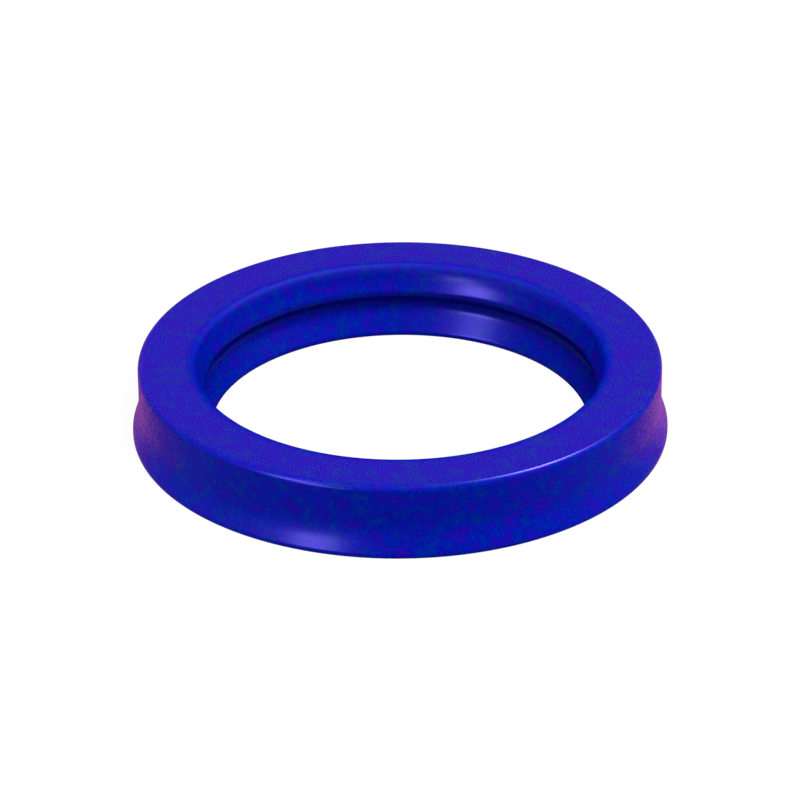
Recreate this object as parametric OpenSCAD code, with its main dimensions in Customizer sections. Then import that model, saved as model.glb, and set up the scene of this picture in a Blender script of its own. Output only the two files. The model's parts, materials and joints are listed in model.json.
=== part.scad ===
// Polyurethane lip seal for a shaft, moulded as one ring.
// A solid heel carries two flared lips with a pressure groove between them. The outer lip seals
// in the housing, the main inner lip seals on the shaft, and a smaller guard lip stands above an
// undercut inside the bore.
// The ring lies on its lips with the heel up. Z is the shaft's axis, and the lip tips are at Z = 0.

/* [Fit] */
// Diameter of the shaft that runs through the seal
shaft_d = 32; // [20:0.5:34]
// Diameter of the housing bore that the seal sits in
housing_d = 42; // [40:0.5:60]
// Height of the ring from the lip tips to the heel face
seal_h = 6; // [5.5:0.1:12]

/* [Heel] */
// Radial clearance of the heel in the housing
heel_gap_out = 0.05; // [0:0.05:0.4]
// Radial clearance of the heel on the shaft, at the heel face
heel_gap_in = 0.35; // [0.2:0.05:0.6]
// Round on the heel's outer edge
heel_round_out = 0.5; // [0.1:0.05:1]
// Round on the heel's inner edge
heel_round_in = 0.5; // [0.1:0.05:0.8]

/* [Lips] */
// Radial bite of the outer lip on the housing
bite_out = 0.5; // [0.1:0.05:1]
// Radial bite of the main inner lip on the shaft
bite_in = 0.85; // [0.1:0.05:1]
// Thickness of each lip at its tip
lip_tip = 0.95; // [0.6:0.05:1.4]
// Height of the band on each lip that touches the shaft or the housing
lip_land = 0.25; // [0.15:0.05:0.6]
// Round between a lip's band and its tip
tip_round = 0.1; // [0.05:0.05:0.4]
// Round between a lip's band and its flank
band_round = 0.3; // [0.1:0.1:2]
// Height above the tips where the outer flank turns into the heel's wall
flare_h = 2; // [1.5:0.1:3.5]
// Radius of the hollow between the heel's wall and the outer flank
flare_round = 6; // [1:0.5:12]

/* [Guard lip] */
// Radial bite of the guard lip on the shaft
guard_bite = 0.35; // [0:0.05:0.7]
// Depth of the guard lip's crest below the heel face
guard_drop = 2.1; // [1.8:0.05:2.6]
// Height of the crest
guard_land = 0.45; // [0.2:0.05:0.8]
// Round on both edges of the crest
guard_round = 0.65; // [0.1:0.05:1]
// Radial clearance on the shaft where the bore turns into the guard lip's flank
throat_gap = 0.15; // [0:0.05:0.3]
// Depth of that turn below the heel face
throat_drop = 1.15; // [0.8:0.05:1.5]
// Radius of the hollow at that turn
throat_round = 4; // [0.5:0.5:8]

/* [Undercut] */
// Radial clearance between the bottom of the undercut and the shaft
undercut_gap = 0.6; // [0.1:0.05:0.7]
// Depth of the undercut's bottom below the crest
undercut_drop = 0.9; // [0.5:0.05:1.2]
// Round at the bottom of the undercut
undercut_round = 1; // [0.1:0.05:1.5]

/* [Groove] */
// Depth of the pressure groove between the lips
groove_depth = 3.1; // [1.5:0.1:3.5]
// Width of the groove's floor as a share of the gap between shaft and housing
groove_share = 0.34; // [0.2:0.02:0.4]
// Round at each side of the groove's floor
groove_round = 0.8; // [0.2:0.05:1]
// Round between the groove and each lip's tip
mouth_round = 0.2; // [0.05:0.05:0.3]

/* [Hidden] */
$fn = 180;

// Largest distance between a round and the straight steps that draw it
round_error = 0.002;

shaft_r = shaft_d / 2;
housing_r = housing_d / 2;
groove_r = (shaft_r + housing_r) / 2;
groove_floor = groove_share * (housing_r - shaft_r);

heel_out_r = housing_r - heel_gap_out;
heel_in_r = shaft_r + heel_gap_in;
lip_out_r = housing_r + bite_out;
lip_in_r = shaft_r - bite_in;
guard_r = shaft_r - guard_bite;
throat_r = shaft_r + throat_gap;
undercut_r = shaft_r + undercut_gap;

band_top = tip_round + lip_land;
throat_z = seal_h - throat_drop;
crest_top = seal_h - guard_drop;
crest_bottom = crest_top - guard_land;
undercut_z = crest_bottom - undercut_drop;

// Corners of the section as [radius, height, round], from the heel's outer edge and on past the
// outer lip, the groove, the main lip, the undercut and the guard lip
corners = [
    [heel_out_r, seal_h, heel_round_out],
    [heel_out_r, flare_h, flare_round],
    [lip_out_r, band_top, band_round],
    [lip_out_r, 0, tip_round],
    [lip_out_r - lip_tip, 0, mouth_round],
    [groove_r + groove_floor / 2, groove_depth, groove_round],
    [groove_r - groove_floor / 2, groove_depth, groove_round],
    [lip_in_r + lip_tip, 0, mouth_round],
    [lip_in_r, 0, tip_round],
    [lip_in_r, band_top, band_round],
    [undercut_r, undercut_z, undercut_round],
    [guard_r, crest_bottom, guard_round],
    [guard_r, crest_top, guard_round],
    [throat_r, throat_z, throat_round],
    [heel_in_r, seal_h, heel_round_in],
];

function corner(i) = corners[(i + len(corners)) % len(corners)];
function place(i) = [corner(i).x, corner(i).y];
function side(i) = place(i + 1) - place(i);
function along(i) = side(i) / norm(side(i));

// Signed angle by which the outline turns at a corner
function turn(i) = let (a = along(i - 1), b = along(i)) atan2(a.x * b.y - a.y * b.x, a * b);

// Length that a corner's round takes from each side beside it, and the share of it that fits
function reach(i) = corner(i).z * tan(abs(turn(i)) / 2);
function share(i) = min(1, norm(side(i)) / (reach(i) + reach(i + 1)));

// Points of one rounded corner: an arc that touches both sides
function rounded(i) = let (
    fit = min(share(i - 1), share(i)),
    r = corner(i).z * fit,
    start = place(i) - along(i - 1) * reach(i) * fit,
    inward = sign(turn(i)) * [-along(i - 1).y, along(i - 1).x],
    centre = start + inward * r,
    steps = ceil(abs(turn(i)) / (2 * acos(1 - round_error / r)))
) [for (k = [0:steps]) centre + turned(start - centre, turn(i) * k / steps)];

function turned(v, a) = [v.x * cos(a) - v.y * sin(a), v.x * sin(a) + v.y * cos(a)];

module seal_ring() {
    color("#1d1cae")
    rotate_extrude()
    polygon([for (i = [0:len(corners) - 1]) each rounded(i)]);
}

seal_ring();
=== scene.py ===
import json
import math

import bpy
import numpy as np
from mathutils import Matrix, Vector


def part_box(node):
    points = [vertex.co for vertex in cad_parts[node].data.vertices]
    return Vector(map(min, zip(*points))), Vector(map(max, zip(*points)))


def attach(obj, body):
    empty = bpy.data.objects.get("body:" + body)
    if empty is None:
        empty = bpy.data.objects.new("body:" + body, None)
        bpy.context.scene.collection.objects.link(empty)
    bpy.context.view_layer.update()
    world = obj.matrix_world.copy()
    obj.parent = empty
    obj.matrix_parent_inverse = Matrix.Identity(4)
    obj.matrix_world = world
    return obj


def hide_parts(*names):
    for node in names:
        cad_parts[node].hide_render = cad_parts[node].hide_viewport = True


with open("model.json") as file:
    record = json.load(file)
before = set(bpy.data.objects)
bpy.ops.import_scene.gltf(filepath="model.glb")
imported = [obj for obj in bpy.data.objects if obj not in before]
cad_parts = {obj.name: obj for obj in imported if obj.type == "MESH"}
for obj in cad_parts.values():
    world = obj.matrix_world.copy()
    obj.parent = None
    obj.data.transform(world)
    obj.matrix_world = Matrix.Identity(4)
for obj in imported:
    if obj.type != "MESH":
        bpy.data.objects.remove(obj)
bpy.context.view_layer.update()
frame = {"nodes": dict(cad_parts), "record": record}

mm = 0.001
print("frame loaded:", sorted(frame["nodes"]))


# Seal ring, sizes in mm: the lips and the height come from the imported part, and the rest is the moulded section
mounts = {mount["name"]: mount["dims"] for mount in frame["record"]["mounts"]}
lowest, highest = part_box("seal_ring")

seal = {
    "height": (highest.z - lowest.z) / mm,
    "housingLip": mounts["housing_lip"]["r_mm"],  # radius of the outer lip
    "shaftLip": mounts["shaft_lip"]["r_mm"],      # radius of the main inner lip
    "heelOut": 20.95,                             # radius of the heel's outer wall
    "heelIn": 16.35,                              # radius of the heel's bore at the heel face
    "heelRoundOut": 0.5,
    "heelRoundIn": 0.5,
    "lipTip": 0.95,                               # thickness of a lip at its tip
    "tipRound": 0.1,
    "bandTop": 0.35,                              # top of the band that touches shaft or housing
    "bandRound": 0.3,
    "flareHeight": 2.0,                           # where the outer flank turns into the heel's wall
    "flareRound": 6.0,
    "throat": 16.15,                              # radius where the bore turns into the guard lip's flank
    "throatHeight": 4.85,
    "throatRound": 4.0,
    "guardLip": 15.65,                            # radius of the guard lip's crest
    "guardBand": (3.45, 3.90),                    # heights between which it is rounded
    "guardRound": 0.65,
    "undercut": 16.6,                             # radius of the undercut below the guard lip
    "undercutHeight": 2.55,
    "undercutRound": 1.0,
    "groove": 18.5,                               # radius of the pressure groove's middle
    "grooveDepth": 3.1,
    "grooveFloor": 1.7,
    "grooveRound": 0.8,
    "mouthRound": 0.2,
    "sectionPoints": 200,
    "turnPoints": 480,
    "bendWeight": 1.6,                            # mm of extra length that one radian of bend counts for
}


def sectionCorners(s):
    # Corners of the section as (radius, height, round), from the heel's outer edge down the outer lip,
    # through the groove, and up the main lip and the guard lip
    return np.array([
        (s["heelOut"], s["height"], s["heelRoundOut"]),
        (s["heelOut"], s["flareHeight"], s["flareRound"]),
        (s["housingLip"], s["bandTop"], s["bandRound"]),
        (s["housingLip"], 0, s["tipRound"]),
        (s["housingLip"] - s["lipTip"], 0, s["mouthRound"]),
        (s["groove"] + s["grooveFloor"] / 2, s["grooveDepth"], s["grooveRound"]),
        (s["groove"] - s["grooveFloor"] / 2, s["grooveDepth"], s["grooveRound"]),
        (s["shaftLip"] + s["lipTip"], 0, s["mouthRound"]),
        (s["shaftLip"], 0, s["tipRound"]),
        (s["shaftLip"], s["bandTop"], s["bandRound"]),
        (s["undercut"], s["undercutHeight"], s["undercutRound"]),
        (s["guardLip"], s["guardBand"][0], s["guardRound"]),
        (s["guardLip"], s["guardBand"][1], s["guardRound"]),
        (s["throat"], s["throatHeight"], s["throatRound"]),
        (s["heelIn"], s["height"], s["heelRoundIn"]),
    ])


def roundedOutline(corners, arcSteps=48):
    # Closed outline: at each corner an arc of its round touches both sides,
    # and rounds that meet share their side
    place, rounds = corners[:, :2], corners[:, 2]
    side = np.roll(place, -1, axis=0) - place
    length = np.linalg.norm(side, axis=1)
    after = side / length[:, None]
    before = np.roll(after, 1, axis=0)
    turn = np.arctan2(before[:, 0] * after[:, 1] - before[:, 1] * after[:, 0], (before * after).sum(axis=1))
    reach = rounds * np.tan(np.abs(turn) / 2)
    share = np.minimum(1, length / (reach + np.roll(reach, -1)))
    fit = np.minimum(share, np.roll(share, 1))
    start = place - before * (reach * fit)[:, None]
    inward = np.sign(turn)[:, None] * np.stack([-before[:, 1], before[:, 0]], axis=1)
    centre = start + inward * (rounds * fit)[:, None]
    spoke = (start - centre)[:, None, :]
    angle = turn[:, None] * np.linspace(0, 1, arcSteps + 1)
    across = spoke[..., 0] * np.cos(angle) - spoke[..., 1] * np.sin(angle)
    up = spoke[..., 0] * np.sin(angle) + spoke[..., 1] * np.cos(angle)
    return (centre[:, None, :] + np.stack([across, up], axis=-1)).reshape(-1, 2)


def spreadPoints(outline, count, bendWeight):
    # The outline again with count points: equal steps of its length plus bendWeight times its bend
    apart = np.linalg.norm(np.roll(outline, -1, axis=0) - outline, axis=1) > 1e-6
    outline = outline[apart]
    step = np.roll(outline, -1, axis=0) - outline
    heading = np.arctan2(step[:, 1], step[:, 0])
    bend = np.abs((heading - np.roll(heading, 1) + np.pi) % (2 * np.pi) - np.pi)
    cost = np.linalg.norm(step, axis=1) + bendWeight * (bend + np.roll(bend, -1)) / 2
    passed = np.concatenate([[0], np.cumsum(cost)])
    wanted = np.arange(count) * passed[-1] / count
    closed = np.concatenate([outline, outline[:1]])
    return np.stack([np.interp(wanted, passed, closed[:, k]) for k in (0, 1)], axis=1)


def ringSurface(outline, turns):
    # Outline point u carried round the shaft's axis by the angle a: (radius cos a, radius sin a, height)
    angle = np.arange(turns) * 2 * np.pi / turns
    radius, height = outline[:, :1], outline[:, 1:]
    return np.stack([radius * np.cos(angle), radius * np.sin(angle), height + 0 * angle], axis=-1) * mm


def closedMesh(name, grid):
    # Grid of points that closes on itself both ways, as a mesh of quads that face outwards
    rows, columns = grid.shape[:2]
    index = np.arange(rows * columns).reshape(rows, columns)
    below, beside = np.roll(index, -1, axis=0), np.roll(index, -1, axis=1)
    across = np.roll(below, -1, axis=1)
    quads = np.stack([index, below, across, beside], axis=-1).reshape(-1, 4)
    mesh = bpy.data.meshes.new(name)
    mesh.vertices.add(rows * columns)
    mesh.vertices.foreach_set("co", grid.astype(np.float32).ravel())
    mesh.loops.add(quads.size)
    mesh.loops.foreach_set("vertex_index", quads.astype(np.int32).ravel())
    mesh.polygons.add(len(quads))
    mesh.polygons.foreach_set("loop_start", np.arange(0, quads.size, 4, dtype=np.int32))
    mesh.polygons.foreach_set("use_smooth", np.ones(len(quads), dtype=bool))
    mesh.update(calc_edges=True)
    mesh.validate()
    piece = bpy.data.objects.new(name, mesh)
    bpy.context.scene.collection.objects.link(piece)
    return piece


outline = spreadPoints(roundedOutline(sectionCorners(seal)), seal["sectionPoints"], seal["bendWeight"])
sealBody = closedMesh("seal_body", ringSurface(outline, seal["turnPoints"]))
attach(sealBody, "root")
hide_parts("seal_ring")
print("seal ring:", len(sealBody.data.polygons), "faces")


# Materials

def linear(hexColour, alpha=1.0):
    # sRGB hex to the linear colour that shaders use
    srgb = np.array([int(hexColour[k:k + 2], 16) for k in (1, 3, 5)]) / 255
    value = np.where(srgb <= 0.04045, srgb / 12.92, ((srgb + 0.055) / 1.055) ** 2.4)
    return (*(float(v) for v in value), alpha)


def addNode(tree, kind, inputs=None, **settings):
    # A node with its settings; an input is a value, or the socket that feeds it
    node = tree.nodes.new(kind)
    for key, value in settings.items():
        setattr(node, key, value)
    for key, value in (inputs or {}).items():
        if isinstance(value, bpy.types.NodeSocket):
            tree.links.new(value, node.inputs[key])
        else:
            node.inputs[key].default_value = value
    return node


def emptyTree(owner):
    owner.use_nodes = True
    owner.node_tree.nodes.clear()
    return owner.node_tree


# Moulded polyurethane: dense blue pigment under an even satin skin. The eye sees faint clouds in the blue, a rosy
# bloom on the heel face and on flanks seen edge on, and a matt trimmed edge inside the heel.
polyurethane = {
    "blue": "#0016B2",
    "teal": "#002A9E",                # faint clouds of unmixed pigment
    "violet": "#220AAE",
    "cloudSize": 1.1,                 # mm
    "cloudStops": (0.35, 0.5, 0.65),  # noise values where teal, blue and violet are full
    "grainSize": 0.15,                # mm, satin grain drawn coarser than the mould's so that it shows
    "grainSpan": (0.3, 0.7),          # noise values of the grain's hollows and tops
    "grainDepth": 0.0012,             # mm
    "speckle": 0.3,                   # share by which the grain darkens and lightens the blue
    "peelSize": 0.9,                  # mm, long waves of the mould's polish
    "peelDepth": 0.0015,              # mm
    "roughness": (0.24, 0.30),        # in the grain's hollows and on its tops
    "trimRadius": (16.7, 16.9),       # mm, where the trimmed edge inside the heel ends
    "trimHeight": (5.2, 5.5),         # mm, where it begins
    "trimRoughness": 0.45,            # added on it
    "ior": 1.5,
    "specular": 0.06,
    "specularTint": "#8B7CFF",
    "glossFacing": (0.3, 0.6),        # from face on (0) to edge on (1), where the gloss fades
    "bloomTint": "#FF89DA",
    "bloomRoughness": 0.5,
    "bloomGrain": 1.0,                # share by which the grain breaks up the bloom
    "bloomFrom": (16.7, 17.2),        # mm from the axis, where the bloom starts and is full
    "flankBloom": 0.55,
    "flankFacing": (0.5, 0.85),       # from face on to edge on, where the flank's bloom starts and is full
    "faceBloom": 0.19,
    "faceHeight": (5.7, 5.95),        # mm, where the flank gives way to the heel face
}


def mouldedPolyurethane(p):
    material = bpy.data.materials.new("moulded_polyurethane")
    tree = emptyTree(material)
    place = addNode(tree, "ShaderNodeTexCoord").outputs["Object"]
    level = addNode(tree, "ShaderNodeVectorMath", {0: place, 1: (1, 1, 0)}, operation="MULTIPLY")
    radius = addNode(tree, "ShaderNodeVectorMath", {
        0: level.outputs["Vector"]}, operation="LENGTH").outputs["Value"]
    height = addNode(tree, "ShaderNodeSeparateXYZ", {"Vector": place}).outputs["Z"]
    grain = addNode(tree, "ShaderNodeTexNoise", {
        "Vector": place, "Scale": 1 / (p["grainSize"] * mm), "Detail": 2.0, "Roughness": 0.6}).outputs["Fac"]
    hollow, top = p["grainSpan"]

    # Clouded pigment, speckled by the grain
    clouds = addNode(tree, "ShaderNodeTexNoise", {
        "Vector": place, "Scale": 1 / (p["cloudSize"] * mm), "Detail": 5.0, "Roughness": 0.7})
    pigment = addNode(tree, "ShaderNodeValToRGB", {"Fac": clouds.outputs["Fac"]})
    stops = pigment.color_ramp.elements
    stops.new(p["cloudStops"][1])
    for k, colour in enumerate((p["teal"], p["blue"], p["violet"])):
        stops[k].position, stops[k].color = p["cloudStops"][k], linear(colour)
    shade = addNode(tree, "ShaderNodeMapRange", {
        "Value": grain, "From Min": hollow, "From Max": top,
        "To Min": 1 - p["speckle"], "To Max": 1 + p["speckle"]})
    speckled = addNode(tree, "ShaderNodeVectorMath", {
        0: pigment.outputs["Color"], "Scale": shade.outputs["Result"]}, operation="SCALE")

    # Skin: grain on the long waves of the polish
    peel = addNode(tree, "ShaderNodeTexNoise", {
        "Vector": place, "Scale": 1 / (p["peelSize"] * mm), "Detail": 1.0})
    longWaves = addNode(tree, "ShaderNodeBump", {
        "Height": peel.outputs["Fac"], "Distance": p["peelDepth"] * mm})
    skin = addNode(tree, "ShaderNodeBump", {
        "Height": grain, "Distance": p["grainDepth"] * mm,
        "Normal": longWaves.outputs["Normal"]}).outputs["Normal"]

    # Satin gloss that fades edge on, and is matt on the trimmed edge
    satin = addNode(tree, "ShaderNodeMapRange", {
        "Value": grain, "From Min": hollow, "From Max": top,
        "To Min": p["roughness"][0], "To Max": p["roughness"][1]})
    trimHigh = addNode(tree, "ShaderNodeMapRange", {
        "Value": height, "From Min": p["trimHeight"][0] * mm, "From Max": p["trimHeight"][1] * mm,
        "To Min": 0.0, "To Max": p["trimRoughness"]})
    trimIn = addNode(tree, "ShaderNodeMapRange", {
        "Value": radius, "From Min": p["trimRadius"][0] * mm, "From Max": p["trimRadius"][1] * mm,
        "To Min": 1.0, "To Max": 0.0})
    matt = addNode(tree, "ShaderNodeMath", {
        0: trimHigh.outputs["Result"], 1: trimIn.outputs["Result"], 2: satin.outputs["Result"]},
        operation="MULTIPLY_ADD")
    facing = addNode(tree, "ShaderNodeLayerWeight", {"Blend": 0.5, "Normal": skin}).outputs["Facing"]
    gloss = addNode(tree, "ShaderNodeMapRange", {
        "Value": facing, "From Min": p["glossFacing"][0], "From Max": p["glossFacing"][1],
        "To Min": p["specular"], "To Max": 0.0})

    # Bloom: more and more towards the flank's edge, even on the heel face, none in the bore
    flank = addNode(tree, "ShaderNodeMapRange", {
        "Value": facing, "From Min": p["flankFacing"][0], "From Max": p["flankFacing"][1],
        "To Min": 0.0, "To Max": p["flankBloom"]})
    outside = addNode(tree, "ShaderNodeMapRange", {
        "Value": height, "From Min": p["faceHeight"][0] * mm, "From Max": p["faceHeight"][1] * mm,
        "To Min": flank.outputs["Result"], "To Max": p["faceBloom"]})
    bloom = addNode(tree, "ShaderNodeMapRange", {
        "Value": radius, "From Min": p["bloomFrom"][0] * mm, "From Max": p["bloomFrom"][1] * mm,
        "To Min": 0.0, "To Max": outside.outputs["Result"]})
    broken = addNode(tree, "ShaderNodeMapRange", {
        "Value": grain, "From Min": hollow, "From Max": top,
        "To Min": 1 - p["bloomGrain"], "To Max": 1 + p["bloomGrain"]})
    rosy = addNode(tree, "ShaderNodeMath", {
        0: bloom.outputs["Result"], 1: broken.outputs["Result"]}, operation="MULTIPLY")

    shader = addNode(tree, "ShaderNodeBsdfPrincipled", {
        "Base Color": speckled.outputs["Vector"], "Normal": skin, "Roughness": matt.outputs["Value"],
        "IOR": p["ior"], "Specular IOR Level": gloss.outputs["Result"],
        "Specular Tint": linear(p["specularTint"]),
        "Sheen Weight": rosy.outputs["Value"], "Sheen Roughness": p["bloomRoughness"],
        "Sheen Tint": linear(p["bloomTint"])})
    addNode(tree, "ShaderNodeOutputMaterial", {"Surface": shader.outputs["BSDF"]})
    return material


sealBody.data.materials.append(mouldedPolyurethane(polyurethane))
print("finish: moulded polyurethane")


# Studio: a floor that looks white, soft lamps and dim plain surroundings
studio = {
    "floorSize": 4.0,                 # metres
    "floorColour": "#696969",         # grey paper, seen as white with the glow below
    "floorGlow": 0.88,                # white added to what the camera sees of the floor
    "ambient": 0.15,                  # strength of the surroundings as light
    # azimuth from the camera's side to the right and elevation in degrees, distance and size in metres, watts,
    # and what the lamp lights: fill is the surface's colour, and gloss its highlights
    "lamps": {
        "frontSoftbox": (4, 66, 0.8, (0.6, 0.6), 6.0, "fill"),
        "rightSoftbox": (90, 45, 0.8, (0.6, 0.6), 2.2, "fill"),
        "rightCard": (80, 2.5, 0.5, (0.6, 0.03), 0.8, "fill"),
        "leftCard": (-80, 2.5, 0.5, (0.6, 0.03), 0.95, "fill"),
        "frontLeftCard": (-34, 4, 0.5, (0.14, 0.07), 5.0, "gloss"),
        "frontLeftStrip": (-45, 22, 0.5, (0.15, 0.18), 10.0, "gloss"),
        "frontLeftWindow": (-49, 42, 0.5, (0.10, 0.36), 4.5, "gloss"),
        "rightWindow": (104, 61, 0.5, (0.13, 0.12), 22.0, "gloss"),
    },
}


def seenShare(tree):
    # 1 for camera, glossy and transmission rays, 0 for the rays that light other things
    path = addNode(tree, "ShaderNodeLightPath").outputs
    seen = addNode(tree, "ShaderNodeMath", {
        0: path["Is Camera Ray"], 1: path["Is Glossy Ray"]}, operation="MAXIMUM")
    return addNode(tree, "ShaderNodeMath", {
        0: seen.outputs[0], 1: path["Is Transmission Ray"]}, operation="MAXIMUM").outputs[0]


def paleFloor(s):
    half = s["floorSize"] / 2
    mesh = bpy.data.meshes.new("floor")
    corners = [(-half, -half, 0), (half, -half, 0), (half, half, 0), (-half, half, 0)]
    mesh.from_pydata(corners, [], [(0, 1, 2, 3)])
    floor = bpy.data.objects.new("floor", mesh)
    bpy.context.scene.collection.objects.link(floor)
    material = bpy.data.materials.new("white_paper")
    tree = emptyTree(material)
    paper = addNode(tree, "ShaderNodeBsdfDiffuse", {"Color": linear(s["floorColour"])})
    share = addNode(tree, "ShaderNodeMath", {0: seenShare(tree), 1: s["floorGlow"]}, operation="MULTIPLY")
    glow = addNode(tree, "ShaderNodeEmission", {"Strength": share.outputs[0]})
    seen = addNode(tree, "ShaderNodeAddShader", {0: paper.outputs[0], 1: glow.outputs[0]})
    addNode(tree, "ShaderNodeOutputMaterial", {"Surface": seen.outputs[0]})
    mesh.materials.append(material)


def plainSurroundings(s):
    world = bpy.data.worlds.new("studio")
    bpy.context.scene.world = world
    tree = emptyTree(world)
    glow = addNode(tree, "ShaderNodeBackground", {"Color": (1, 1, 1, 1), "Strength": s["ambient"]})
    addNode(tree, "ShaderNodeOutputWorld", {"Surface": glow.outputs[0]})


def direction(azimuth, elevation):
    # Unit vector from the seal: azimuth 0 is the camera's side (-Y), turning to the right (+X)
    a, e = math.radians(azimuth), math.radians(elevation)
    return Vector((math.sin(a) * math.cos(e), -math.cos(a) * math.cos(e), math.sin(e)))


def softLamp(name, azimuth, elevation, distance, size, watts, lights):
    lamp = bpy.data.lights.new(name, "AREA")
    lamp.shape = "RECTANGLE"
    lamp.size, lamp.size_y = size
    lamp.energy = watts
    holder = bpy.data.objects.new(name, lamp)
    holder.visible_diffuse = lights == "fill"
    holder.visible_glossy = lights == "gloss"
    holder.location = direction(azimuth, elevation) * distance
    holder.rotation_euler = direction(azimuth, elevation).to_track_quat("Z", "Y").to_euler()
    bpy.context.scene.collection.objects.link(holder)


paleFloor(studio)
plainSurroundings(studio)
for name, lamp in studio["lamps"].items():
    softLamp(name, *lamp)
print("studio:", len(studio["lamps"]), "lamps")


# Camera: a long lens in front of the ring, looking down on the heel
camera = {
    "elevation": 28.054,    # degrees above the heel face
    "distance": 0.35519,    # metres from the heel face's centre
    "aimLeft": 0.0013,      # degrees that the aim lies left of that centre
    "aimBelow": 0.55,       # degrees that the aim lies below it
    "roll": 0.448,          # degrees that the camera leans to the left
    "lens": 200.0,          # mm
    "sensor": 36.0,         # mm
}


def photoCamera(c):
    back = direction(0, c["elevation"])
    right = Vector((1, 0, 0))
    up = back.cross(right)
    look = (-back - math.tan(math.radians(c["aimBelow"])) * up
            - math.tan(math.radians(c["aimLeft"])) * right).normalized()
    level = look.cross(Vector((0, 0, 1))).normalized()
    over = level.cross(look)
    lean = math.radians(c["roll"])
    across = math.cos(lean) * level - math.sin(lean) * over
    top = math.sin(lean) * level + math.cos(lean) * over
    lens = bpy.data.cameras.new("camera")
    lens.lens, lens.sensor_width = c["lens"], c["sensor"]
    lens.clip_start = 0.01
    holder = bpy.data.objects.new("camera", lens)
    turned = Matrix((across, top, -look)).transposed().to_4x4()
    turned.translation = Vector((0, 0, seal["height"] * mm)) + back * c["distance"]
    holder.matrix_world = turned
    bpy.context.scene.collection.objects.link(holder)
    bpy.context.scene.camera = holder


photoCamera(camera)
bpy.context.scene.view_settings.view_transform = "Standard"
print("camera placed")
